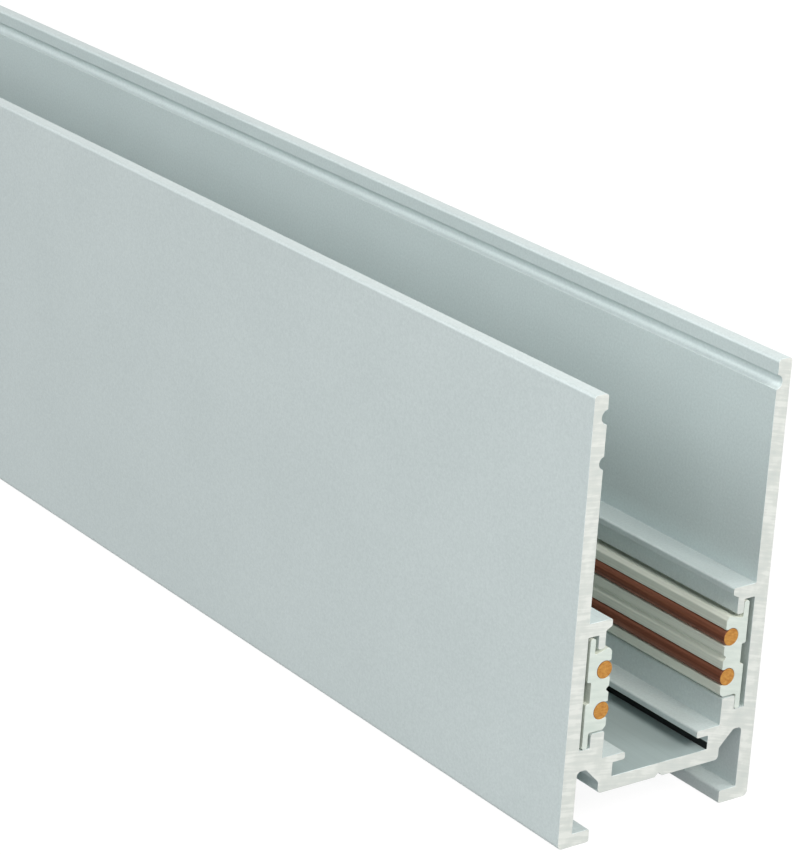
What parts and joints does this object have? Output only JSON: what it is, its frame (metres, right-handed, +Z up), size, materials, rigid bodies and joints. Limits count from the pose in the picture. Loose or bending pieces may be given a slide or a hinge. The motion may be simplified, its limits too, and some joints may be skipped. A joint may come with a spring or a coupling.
{
  "type": "magnetic lighting track",
  "caption": "Straight deep channel track for magnetic low-voltage luminaires: extruded aluminium body with insulator strips and round copper conductors inside both walls.",
  "frame": {"origin": "middle of the track's footprint, on the surface that its two feet stand on", "axes": "+Z up out of the open channel, +Y along the track away from the pictured cut end, +X to the right across the track"},
  "size_m": [0.026, 0.5, 0.05],
  "materials": {
    "anodised_aluminium": "matt silver anodised, bare where sawn",
    "insulator_plastic": "extruded off-white plastic",
    "copper": "drawn copper, brown along its side and bright where cut"
  },
  "bodies": {
    "root": {"track_profile": "anodised_aluminium", "left_insulator_strip": "insulator_plastic", "right_insulator_strip": "insulator_plastic", "left_upper_conductor": "copper", "left_lower_conductor": "copper", "right_upper_conductor": "copper", "right_lower_conductor": "copper"}
  },
  "joints": []
}
